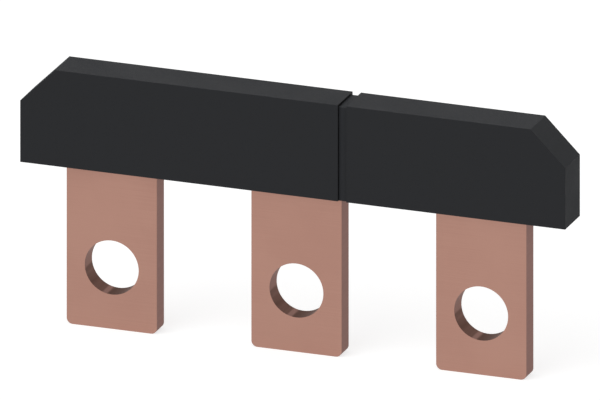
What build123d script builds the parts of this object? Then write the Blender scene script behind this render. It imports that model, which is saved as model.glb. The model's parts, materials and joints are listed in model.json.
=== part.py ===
from build123d import *
import os

# Contactor parallel link: a flat copper comb that joins the poles of a contactor,
# under a moulded black cover.
# Sizes are in millimetres. X runs along the link, Y from its front to its back, and Z is up.
# The origin is on the axis of the middle bolt hole, halfway through the copper.

# Poles
pole_pitch = 37.0
pole_count = 3

# Copper comb
bar_thickness = 4.0
tab_width = 18.1
tab_length = 32.0  # what shows of a tab below the cover
bolt_hole_diameter = 10.8
hole_to_tab_end = 12.3
tab_corner_radius = 1.2
bus_height = 15.0
root_radius = 1.0  # inside corners where the tabs leave the bus
deburr_radius = 0.1  # edges of the punched strip, bolt holes left sharp

# Moulded cover
cover_wall = 2.0  # front and back
cover_roof = 2.0  # top, cut-off corners and ends
cover_skirt = 2.25  # how far the walls reach below the bus
cover_overhang = 8.55  # past the outer tabs
corner_chamfer = 6.95
cover_edge_radius = 0.1
slot_clearance = 0.1  # beside the copper, front and back
end_clearance = 0.2  # beyond each end of the bus
locating_rib = 1.5  # wall between the bus and the hollow end

# Snap lips under the bus, one pair in each gap between two tabs
lip_length = 8.0
lip_catch = 0.6  # how far a lip reaches under the copper
lip_nose = 0.4  # upright part of a lip, above its lead-in

# Groove round the cover where the last pole may be cut off, flush with the edge of the tab before it
groove_width = 1.7
groove_depth = 0.5

# Heights
tab_end = -hole_to_tab_end
cover_bottom = tab_end + tab_length
bus_bottom = cover_bottom + cover_skirt
bus_top = bus_bottom + bus_height
cover_top = bus_top + cover_roof
comb_height = bus_top - tab_end
cover_height = cover_top - cover_bottom

# Lengths and depths
gap_count = pole_count - 1
gap_width = pole_pitch - tab_width
comb_length = gap_count * pole_pitch + tab_width
cover_length = comb_length + 2 * cover_overhang
slot_length = comb_length + 2 * end_clearance
slot_width = bar_thickness + 2 * slot_clearance
cover_depth = slot_width + 2 * cover_wall
gap_positions = [(i - (gap_count - 1) / 2) * pole_pitch for i in range(gap_count)]
groove_start = gap_positions[-1] - gap_width / 2

# Busbar: a strip with the gaps between its tabs punched out
with BuildPart() as busbar:
    with BuildSketch(Plane.XZ):
        with Locations((0, tab_end)):
            Rectangle(comb_length, comb_height, align=(Align.CENTER, Align.MIN))
        with Locations([(x, tab_end) for x in gap_positions]):
            Rectangle(gap_width, bus_bottom - tab_end, align=(Align.CENTER, Align.MIN), mode=Mode.SUBTRACT)
        fillet(vertices().group_by(Axis.Y)[1], root_radius)
        fillet(vertices().group_by(Axis.Y)[0], tab_corner_radius)
    extrude(amount=bar_thickness / 2, both=True)
    fillet(busbar.faces().filter_by(Axis.Y).edges(), deburr_radius)
    with BuildSketch(Plane.XZ):
        with GridLocations(pole_pitch, 0, pole_count, 1):
            Circle(bolt_hole_diameter / 2)
    extrude(amount=bar_thickness / 2, both=True, mode=Mode.SUBTRACT)

# Cover: a cap that is open below, with a slot for the bus and a hollow at each end
with BuildPart() as cover:
    with BuildSketch(Plane.XZ):
        with Locations((0, cover_bottom)):
            Rectangle(cover_length, cover_height, align=(Align.CENTER, Align.MIN))
        chamfer(vertices().group_by(Axis.Y)[-1], corner_chamfer)
    extrude(amount=cover_depth / 2, both=True)
    rim = cover.faces().sort_by(Axis.Z)[0].edges()
    fillet(cover.edges() - rim, cover_edge_radius)

    # The slot ends against the roof and, at both ends, in front of the locating ribs.
    with BuildSketch(Plane.XZ):
        with Locations((0, cover_bottom)):
            Rectangle(slot_length, bus_top - cover_bottom, align=(Align.CENTER, Align.MIN))
    extrude(amount=slot_width / 2, both=True, mode=Mode.SUBTRACT)

    # The hollow ends keep an even wall under the cut-off corners and are open below.
    with BuildSketch(Plane.XZ):
        with Locations((0, cover_top)):
            Rectangle(cover_length, cover_height + cover_roof, align=(Align.CENTER, Align.MAX))
        chamfer(vertices().group_by(Axis.Y)[-1], corner_chamfer)
        offset(amount=-cover_roof)
        with Locations((0, cover_top)):
            Rectangle(slot_length + 2 * locating_rib, 2 * cover_height, mode=Mode.SUBTRACT)
    extrude(amount=slot_width / 2, both=True, mode=Mode.SUBTRACT)

    # The lips catch the bus from below, and their sloped undersides let it snap in.
    with BuildSketch(*[Plane.YZ.offset(x) for x in gap_positions]):
        with BuildLine():
            lip_tip = bar_thickness / 2 - lip_catch
            lip_root = slot_width / 2
            Polyline(
                (lip_root, bus_bottom),
                (lip_tip, bus_bottom),
                (lip_tip, bus_bottom - lip_nose),
                (lip_root, bus_bottom - lip_nose - (lip_root - lip_tip)),
                close=True,
            )
        make_face()
        mirror(about=Plane.YZ)
    extrude(amount=lip_length / 2, both=True)

    # The groove runs over the front, the top and the back and is open at the lower edge.
    with BuildSketch(Plane.YZ.offset(groove_start)):
        with Locations((0, cover_bottom)):
            Rectangle(2 * cover_depth, 2 * cover_height, align=(Align.CENTER, Align.MIN))
            Rectangle(
                cover_depth - 2 * groove_depth,
                cover_height - groove_depth,
                align=(Align.CENTER, Align.MIN),
                mode=Mode.SUBTRACT,
            )
    extrude(amount=groove_width, mode=Mode.SUBTRACT)

busbar.part.label = "busbar"
cover.part.label = "cover"

os.makedirs("parts", exist_ok=True)
export_step(busbar.part, "parts/busbar.step")
export_step(cover.part, "parts/cover.step")
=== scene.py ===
import json
import math
import bpy
from mathutils import Matrix, Vector


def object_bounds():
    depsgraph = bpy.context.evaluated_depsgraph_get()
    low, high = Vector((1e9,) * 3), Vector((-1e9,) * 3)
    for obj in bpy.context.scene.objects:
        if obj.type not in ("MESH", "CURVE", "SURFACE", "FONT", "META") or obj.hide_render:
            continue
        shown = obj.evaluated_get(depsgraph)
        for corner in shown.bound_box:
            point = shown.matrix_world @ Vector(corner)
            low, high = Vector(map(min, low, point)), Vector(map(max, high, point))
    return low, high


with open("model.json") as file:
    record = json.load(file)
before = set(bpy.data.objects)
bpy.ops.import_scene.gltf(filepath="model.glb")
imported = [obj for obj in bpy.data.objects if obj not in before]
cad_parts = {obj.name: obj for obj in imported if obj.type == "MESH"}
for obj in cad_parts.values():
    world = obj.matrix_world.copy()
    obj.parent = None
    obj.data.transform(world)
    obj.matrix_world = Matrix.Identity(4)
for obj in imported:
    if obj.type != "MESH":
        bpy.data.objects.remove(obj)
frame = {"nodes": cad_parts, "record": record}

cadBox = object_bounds()
mm = 0.001
white = (1.0, 1.0, 1.0, 1.0)
roundedEdge = (0.1, 0.35, 0.85, 0.98)  # size of the normal's Y over a rounded edge of the front or the back
print("frame loaded:", sorted(frame["nodes"]))


# Node helpers
def newMaterial(name):
    mat = bpy.data.materials.new(name)
    mat.use_nodes = True
    return mat, mat.node_tree, mat.node_tree.nodes["Principled BSDF"]


def setValues(node, values):
    for socket, value in values.items():
        node.inputs[socket].default_value = value


def addNode(tree, kind, values=None, **settings):
    node = tree.nodes.new("ShaderNode" + kind)
    for name, value in settings.items():
        setattr(node, name, value)
    setValues(node, values or {})
    return node


def feed(tree, sockets, values):  # a value is a number, a colour or another node's output
    for socket, value in zip(sockets, values):
        if isinstance(value, bpy.types.NodeSocket):
            tree.links.new(value, socket)
        else:
            socket.default_value = value


def addMath(tree, operation, *values):
    node = addNode(tree, "Math", operation=operation)
    feed(tree, node.inputs, values)
    return node.outputs[0]


def blendValues(tree, first, second, share):  # share is how much of the second goes in
    rest = addMath(tree, "MULTIPLY", first, 1.0 - share)
    return addMath(tree, "ADD", rest, addMath(tree, "MULTIPLY", second, share))


def addRange(tree, value, fromLow, fromHigh, toLow=0.0, toHigh=1.0):
    node = addNode(tree, "MapRange", interpolation_type="SMOOTHSTEP")
    setValues(node, {"From Min": fromLow, "From Max": fromHigh, "To Min": toLow, "To Max": toHigh})
    tree.links.new(value, node.inputs["Value"])
    return node.outputs["Result"]


def addMix(tree, amount, first, second):  # colours
    node = addNode(tree, "Mix", data_type="RGBA")
    feed(tree, (node.inputs["Factor"], node.inputs[6], node.inputs[7]), (amount, first, second))
    return node.outputs[2]


def placeInMm(tree):
    coords = addNode(tree, "TexCoord")
    scaled = addNode(tree, "Mapping", {"Scale": (1.0 / mm,) * 3})
    tree.links.new(coords.outputs["Object"], scaled.inputs["Vector"])
    return scaled.outputs["Vector"]


def splitVector(tree, vector):
    parts = addNode(tree, "SeparateXYZ")
    tree.links.new(vector, parts.inputs["Vector"])
    return parts.outputs


def surfaceNormal(tree):
    return splitVector(tree, addNode(tree, "NewGeometry").outputs["Normal"])


def between(tree, value, low, fullLow, fullHigh, high):  # 1 in the middle, fading to 0 at both ends
    rising = addRange(tree, value, low, fullLow)
    return addMath(tree, "MULTIPLY", rising, addRange(tree, value, fullHigh, high, 1.0, 0.0))


def faceEdges(tree, normal):  # 1 on the narrow rounded edges of the front and the back
    return between(tree, addMath(tree, "ABSOLUTE", normal["Y"]), *roundedEdge)


def turned(tree, place, degrees):  # how far along and across a direction in the upright XZ plane
    parts = splitVector(tree, place)
    x, z = parts["X"], parts["Z"]
    cosine = math.cos(math.radians(degrees))
    sine = math.sin(math.radians(degrees))
    along = addMath(tree, "MULTIPLY_ADD", z, sine, addMath(tree, "MULTIPLY", x, cosine))
    across = addMath(tree, "MULTIPLY_ADD", z, cosine, addMath(tree, "MULTIPLY", x, -sine))
    return along, across


def addNoise(tree, place, perMm, detail=3.0, seed=0.0):  # perMm is how finely it runs along X, Y and Z
    scaled = addNode(tree, "Mapping", {"Scale": perMm})
    tree.links.new(place, scaled.inputs["Vector"])
    noise = addNode(tree, "TexNoise", noise_dimensions="4D")
    setValues(noise, {"Scale": 1.0, "Detail": detail, "W": seed})
    tree.links.new(scaled.outputs["Vector"], noise.inputs["Vector"])
    return noise.outputs["Fac"]


def addBump(tree, shader, height, distance):
    bump = addNode(tree, "Bump", {"Distance": distance})
    tree.links.new(height, bump.inputs["Height"])
    tree.links.new(bump.outputs["Normal"], shader.inputs["Normal"])


# Cover: black moulded plastic with a fine spark-eroded grain, painted shade on the groove wall and painted
# light on the groove floor
coverFinish = {
    "color": (0.0240, 0.0250, 0.0274, 1.0),
    "paleColor": (0.0262, 0.0274, 0.0301, 1.0),
    "cloudShare": 0.5,  # how much of the tone the clouds give, the rest is grain
    "toneSpan": (0.38, 0.62),  # noise from plain to pale
    "rubbedColor": (0.0305, 0.0313, 0.0336, 1.0),  # edges that hands and neighbours rub smooth
    "rubbedRoughness": -0.14,  # added where rubbed
    "rubbedPatches": (0.35, 0.35, 0.35),  # per mm
    "rubbedSpan": (0.4, 0.6),  # noise from between the patches to their middle
    "rubbedLeast": 0.25,  # what is rubbed off between them
    "endEdge": (0.05, 0.15),  # from a flat side to the middle of a rounded edge, see endEdges
    # painted shade: near black where shade falls on the groove's wall
    "paintedShadeWallColor": (0.0030, 0.0031, 0.0034, 1.0),
    "paintedLightFloorColor": (0.0330, 0.0350, 0.0390, 1.0),  # painted light beside that wall, paler than the plastic to lift the shade that falls there, fading across the floor
    "grooveX": (9.05, 10.75),  # mm
    "grooveWallBand": 0.1,  # mm either side of the wall
    "grooveWallFacing": 0.5,  # the least X of its normal
    "specular": 0.11,
    "roughness": (0.62, 0.74),
    "roughnessSpan": (0.35, 0.65),  # noise from smooth to rough
    "grain": (9.0, 9.0, 9.0),  # per mm
    "grainDepth": 0.05 * mm,
    "clouds": (0.11, 0.11, 0.11),  # per mm
}


def paintedGrooveShadeAndLight(tree, place, normal, v):  # painted shade on the wall that faces the last pole, and painted light on the floor beside it
    start, end = v["grooveX"]
    across = splitVector(tree, place)["X"]
    offset = addMath(tree, "ABSOLUTE", addMath(tree, "SUBTRACT", across, start))
    facing = addMath(tree, "GREATER_THAN", normal["X"], v["grooveWallFacing"])
    paintedShadeWall = addMath(tree, "MULTIPLY", facing, addMath(tree, "LESS_THAN", offset, v["grooveWallBand"]))
    beyond = addMath(tree, "GREATER_THAN", across, start)
    floor = addMath(tree, "MULTIPLY", beyond, addRange(tree, across, start, end, 1.0, 0.0))
    return paintedShadeWall, floor


def endEdges(tree, normal, v):  # 1 on the rounded edges between the top, the cut-off corners and the ends
    x, z = normal["X"], normal["Z"]
    squares = addMath(tree, "POWER", x, 2.0), addMath(tree, "POWER", z, 2.0)
    difference = addMath(tree, "SUBTRACT", *squares)  # nothing on a cut-off corner, where X and Z are alike
    product = addMath(tree, "MULTIPLY", addMath(tree, "MULTIPLY", x, z), difference)
    return addRange(tree, addMath(tree, "ABSOLUTE", product), *v["endEdge"])


def coverMaterial(v):
    mat, tree, shader = newMaterial("coverPlastic")
    place = placeInMm(tree)
    normal = surfaceNormal(tree)
    grain = addNoise(tree, place, v["grain"])
    uneven = blendValues(tree, grain, addNoise(tree, place, v["clouds"]), v["cloudShare"])

    # masks for the painted shade on the groove wall and the painted light on the groove floor
    paintedShadeWall, floor = paintedGrooveShadeAndLight(tree, place, normal, v)
    plain = addMix(tree, addRange(tree, uneven, *v["toneSpan"]), v["color"], v["paleColor"])
    # painted light: the groove floor is made paler beside the wall
    plainWithPaintedLight = addMix(tree, floor, plain, v["paintedLightFloorColor"])
    edges = addMath(tree, "MAXIMUM", faceEdges(tree, normal), endEdges(tree, normal, v))
    patchNoise = addNoise(tree, place, v["rubbedPatches"])
    rubbed = addMath(tree, "MULTIPLY", edges, addRange(tree, patchNoise, *v["rubbedSpan"], v["rubbedLeast"]))
    wearOverPaintedLight = addMix(tree, rubbed, plainWithPaintedLight, v["rubbedColor"])
    # painted shade: the groove wall turns near black
    tree.links.new(addMix(tree, paintedShadeWall, wearOverPaintedLight, v["paintedShadeWallColor"]), shader.inputs["Base Color"])

    setValues(shader, {"Specular IOR Level": v["specular"]})
    roughness = addRange(tree, uneven, *v["roughnessSpan"], *v["roughness"])
    smoother = addMath(tree, "MULTIPLY_ADD", rubbed, v["rubbedRoughness"], roughness)
    tree.links.new(smoother, shader.inputs["Roughness"])
    addBump(tree, shader, grain, v["grainDepth"])
    return mat


# Busbar: bare rolled copper, darker on the sideways punched edges, partly their punched finish and partly
# painted shade, with painted reflection and shade on the bolt hole walls
copperFinish = {
    "faceColor": (0.417, 0.233, 0.183, 1.0),
    "tarnishColor": (0.400, 0.222, 0.175, 1.0),
    "rollingShare": 0.4,  # how much of the tarnish the rolling lines give, the rest is clouds
    "tarnishSpan": (0.38, 0.62),  # noise from bare to tarnished
    # partly punched finish and partly painted shade: the sideways edges are darker than the faces
    "punchedAndShadedColor": (0.236, 0.129, 0.110, 1.0),
    "punchedAndShadedDark": (0.222, 0.122, 0.104, 1.0),
    "edgeSpan": (0.36, 0.64),  # noise from dark to plain
    "rubbedColor": (0.391, 0.222, 0.176, 1.0),  # the deburred edges of the strip
    "rubbedRoughness": -0.1,  # added where deburred
    # painted reflection and shade on the bolt hole walls, from pale to dark
    "paintedLitHoleColor": (0.236, 0.128, 0.105, 1.0),
    "paintedShadeHoleColor": (0.076, 0.032, 0.020, 1.0),
    "flatAngleTint": (0.97, 0.88, 0.86, 1.0),  # of what the copper mirrors at a flat angle
    "faceRoughness": (0.42, 0.50),  # bare and tarnished
    "edgeRoughness": 0.55,
    "rolledFacing": (0.55, 0.85),  # size of the normal's Y from a punched edge to a rolled face
    "rollingLines": (0.05, 1.0, 9.0),  # per mm
    "clouds": (0.07, 0.07, 0.07),
    "rolledDetail": 4.0,
    "punchLines": (2.6, 0.12, 2.6),
    "lineDepth": 0.001 * mm,
    "holeStreaks": (0.9, 0.06, 0.9),
    "streakDetail": 1.5,
    "streakMiddle": 0.5,  # noise that leaves the tone as it is
    "holeSeed": 53.65,
    "paintedLitSide": (150.0, 3.95, 4.45),  # painted light on one side of the hole wall: degrees round a hole from +X, and mm along that direction
    # weaker painted light on the far side of the hole along the same direction
    "paintedHalfLit": (150.0, -2.2, -1.2),
    "halfTone": 0.34,
    "paintedGlint": (254.5, 0.25, 0.8),  # painted glint, a bright reflected line on the hole wall, degrees and mm to its sides
    "holeBand": 0.35,  # mm beyond the hole's wall
}


def placeAtHole(tree, place):  # the place as seen from the centre of the nearest bolt hole
    mounts = frame["record"]["mounts"]
    pitch = (mounts[1]["pos_m"][0] - mounts[0]["pos_m"][0]) / mm
    parts = splitVector(tree, place)
    joined = addNode(tree, "CombineXYZ")
    across = addMath(tree, "WRAP", parts["X"], pitch / 2, -pitch / 2)
    feed(tree, joined.inputs, (across, parts["Y"], parts["Z"]))
    return joined.outputs["Vector"]


def holeMask(tree, local, v):  # 1 on the walls of the bolt holes
    parts = splitVector(tree, local)
    squares = addMath(tree, "POWER", parts["X"], 2.0), addMath(tree, "POWER", parts["Z"], 2.0)
    reach = frame["record"]["mounts"][0]["dims"]["r_mm"] + v["holeBand"]
    return addMath(tree, "LESS_THAN", addMath(tree, "ADD", *squares), reach ** 2)


def paintedHoleReflection(tree, local, v):  # painted reflection and shade with streaks, 0 dark to 1 pale, the same in each hole because the same light falls into each
    streaks = addNoise(tree, local, v["holeStreaks"], v["streakDetail"], v["holeSeed"])
    angle, low, high = v["paintedLitSide"]
    paintedLitSide = addRange(tree, turned(tree, local, angle)[0], low, high)
    angle, low, high = v["paintedHalfLit"]
    half = addRange(tree, turned(tree, local, angle)[0], low, high, 0.0, v["halfTone"])
    tone = addMath(tree, "ADD", half, addMath(tree, "SUBTRACT", streaks, v["streakMiddle"]))

    # painted glint: a bright reflected line on the hole wall
    angle, low, high = v["paintedGlint"]
    along, across = turned(tree, local, angle)
    line = addRange(tree, addMath(tree, "ABSOLUTE", across), low, high, 1.0, 0.0)
    paintedGlint = addMath(tree, "MULTIPLY", line, addMath(tree, "GREATER_THAN", along, 0.0))
    return addMath(tree, "MAXIMUM", addMath(tree, "MAXIMUM", tone, paintedLitSide), paintedGlint)


def copperMaterial(v):
    mat, tree, shader = newMaterial("copper")
    setValues(shader, {"Metallic": 1.0, "Specular Tint": v["flatAngleTint"]})
    place = placeInMm(tree)
    local = placeAtHole(tree, place)
    normal = surfaceNormal(tree)
    rolling = addNoise(tree, place, v["rollingLines"], v["rolledDetail"])
    cloud = addNoise(tree, place, v["clouds"], v["rolledDetail"])
    punching = addNoise(tree, place, v["punchLines"])

    tarnish = addRange(tree, blendValues(tree, cloud, rolling, v["rollingShare"]), *v["tarnishSpan"])
    faceColor = addMix(tree, tarnish, v["faceColor"], v["tarnishColor"])
    punchedAndShadedColor = addMix(tree, addRange(tree, punching, *v["edgeSpan"]), v["punchedAndShadedDark"], v["punchedAndShadedColor"])
    # painted reflection and shade on the hole walls
    paintedLitHoleColor = addMix(tree, paintedHoleReflection(tree, local, v), v["paintedShadeHoleColor"], v["paintedLitHoleColor"])
    hole = holeMask(tree, local, v)

    # Rolled faces look forward or back, punched edges look sideways and get the darker colour that is partly
    # painted shade.
    rolled = addRange(tree, addMath(tree, "ABSOLUTE", normal["Y"]), *v["rolledFacing"])
    color = addMix(tree, rolled, addMix(tree, hole, punchedAndShadedColor, paintedLitHoleColor), faceColor)
    deburred = addMath(tree, "MULTIPLY", faceEdges(tree, normal), addMath(tree, "SUBTRACT", 1.0, hole))
    tree.links.new(addMix(tree, deburred, color, v["rubbedColor"]), shader.inputs["Base Color"])

    blend = addNode(tree, "Mix", data_type="FLOAT")
    sockets = blend.inputs["Factor"], blend.inputs[2], blend.inputs[3]
    faceRoughness = addRange(tree, tarnish, 0.0, 1.0, *v["faceRoughness"])
    feed(tree, sockets, (rolled, v["edgeRoughness"], faceRoughness))
    smoother = addMath(tree, "MULTIPLY_ADD", deburred, v["rubbedRoughness"], blend.outputs[0])
    tree.links.new(smoother, shader.inputs["Roughness"])
    addBump(tree, shader, addMath(tree, "ADD", rolling, punching), v["lineDepth"])
    return mat


def dress(node, mat):
    slots = frame["nodes"][node].data.materials
    slots.clear()
    slots.append(mat)


dress("cover", coverMaterial(coverFinish))
dress("busbar", copperMaterial(copperFinish))
print("materials set")

# Studio: a white floor under the tabs, a soft sun and an even sky
studio = {
    "floorSize": 8.0,  # metres
    "floorColor": (0.45, 0.45, 0.45, 1.0),
    "floorRoughness": 0.9,
    "floorSpecular": 0.0,
    "floorGlow": 0.70,  # only where it is seen or mirrored, so it lights nothing
    "sunStrength": 1.3,
    "sunAngle": 60.0,  # degrees across, which makes it soft
    "sunFrom": (-0.5, -0.7, 0.72),
    "skyStrength": 0.6,  # as a light
    "skySeen": 1.0,  # where it is seen or mirrored
}


def seenRays(tree):  # 1 for what is seen, mirrored or looked at through glass, 0 for plain light
    path = addNode(tree, "LightPath").outputs
    direct = addMath(tree, "MAXIMUM", path["Is Camera Ray"], path["Is Glossy Ray"])
    return addMath(tree, "MAXIMUM", direct, path["Is Transmission Ray"])


def makeFloor(v, height):
    half = v["floorSize"] / 2
    mesh = bpy.data.meshes.new("floor")
    corners = [(-half, -half, height), (half, -half, height), (half, half, height), (-half, half, height)]
    mesh.from_pydata(corners, [], [(0, 1, 2, 3)])
    floor = bpy.data.objects.new("floor", mesh)
    bpy.context.scene.collection.objects.link(floor)
    mat, tree, shader = newMaterial("paleFloor")
    setValues(shader, {"Base Color": v["floorColor"], "Emission Color": white})
    setValues(shader, {"Roughness": v["floorRoughness"], "Specular IOR Level": v["floorSpecular"]})
    glow = addMath(tree, "MULTIPLY", seenRays(tree), v["floorGlow"])
    tree.links.new(glow, shader.inputs["Emission Strength"])
    mesh.materials.append(mat)


def makeSun(v):
    light = bpy.data.lights.new("softSun", "SUN")
    light.energy = v["sunStrength"]
    light.angle = math.radians(v["sunAngle"])
    lamp = bpy.data.objects.new("softSun", light)
    lamp.rotation_mode = "QUATERNION"
    lamp.rotation_quaternion = Vector(v["sunFrom"]).to_track_quat("Z", "Y")
    bpy.context.scene.collection.objects.link(lamp)


def makeSky(v):
    world = bpy.data.worlds.new("sky")
    bpy.context.scene.world = world
    world.use_nodes = True
    tree = world.node_tree
    back = tree.nodes["Background"]
    setValues(back, {"Color": white})
    strength = addRange(tree, seenRays(tree), 0.0, 1.0, v["skyStrength"], v["skySeen"])
    tree.links.new(strength, back.inputs["Strength"])


makeFloor(studio, cadBox[0].z)
makeSun(studio)
makeSky(studio)
print("studio lit")

# Camera: straight parallel view, turned 20 degrees to the right of the front and 20 degrees above it
cameraView = {
    "azimuth": 20.0,
    "elevation": 20.0,
    "widthPixels": 600,
    "pixelsPerMm": 5.3127,
    "originRightPixels": 0.04,  # where the middle hole's centre lies from the middle of the picture
    "originDownPixels": 87.13,
    "distance": 0.6,  # metres
    "clipStart": 0.01,
    "clipEnd": 20.0,
}


def makeCamera(v):
    azimuth = math.radians(v["azimuth"])
    elevation = math.radians(v["elevation"])
    level = math.cos(elevation)
    back = Vector((math.sin(azimuth) * level, -math.cos(azimuth) * level, math.sin(elevation)))
    right = Vector((math.cos(azimuth), math.sin(azimuth), 0.0))
    up = back.cross(right)
    pixel = mm / v["pixelsPerMm"]
    target = up * v["originDownPixels"] * pixel - right * v["originRightPixels"] * pixel
    data = bpy.data.cameras.new("camera")
    data.type = "ORTHO"
    data.ortho_scale = v["widthPixels"] * pixel
    data.clip_start = v["clipStart"]
    data.clip_end = v["clipEnd"]
    camera = bpy.data.objects.new("camera", data)
    turn = Matrix((right, up, back)).transposed().to_4x4()
    camera.matrix_world = Matrix.Translation(target + back * v["distance"]) @ turn
    bpy.context.scene.collection.objects.link(camera)
    bpy.context.scene.camera = camera


makeCamera(cameraView)
bpy.context.scene.view_settings.view_transform = "Standard"
print("camera placed")
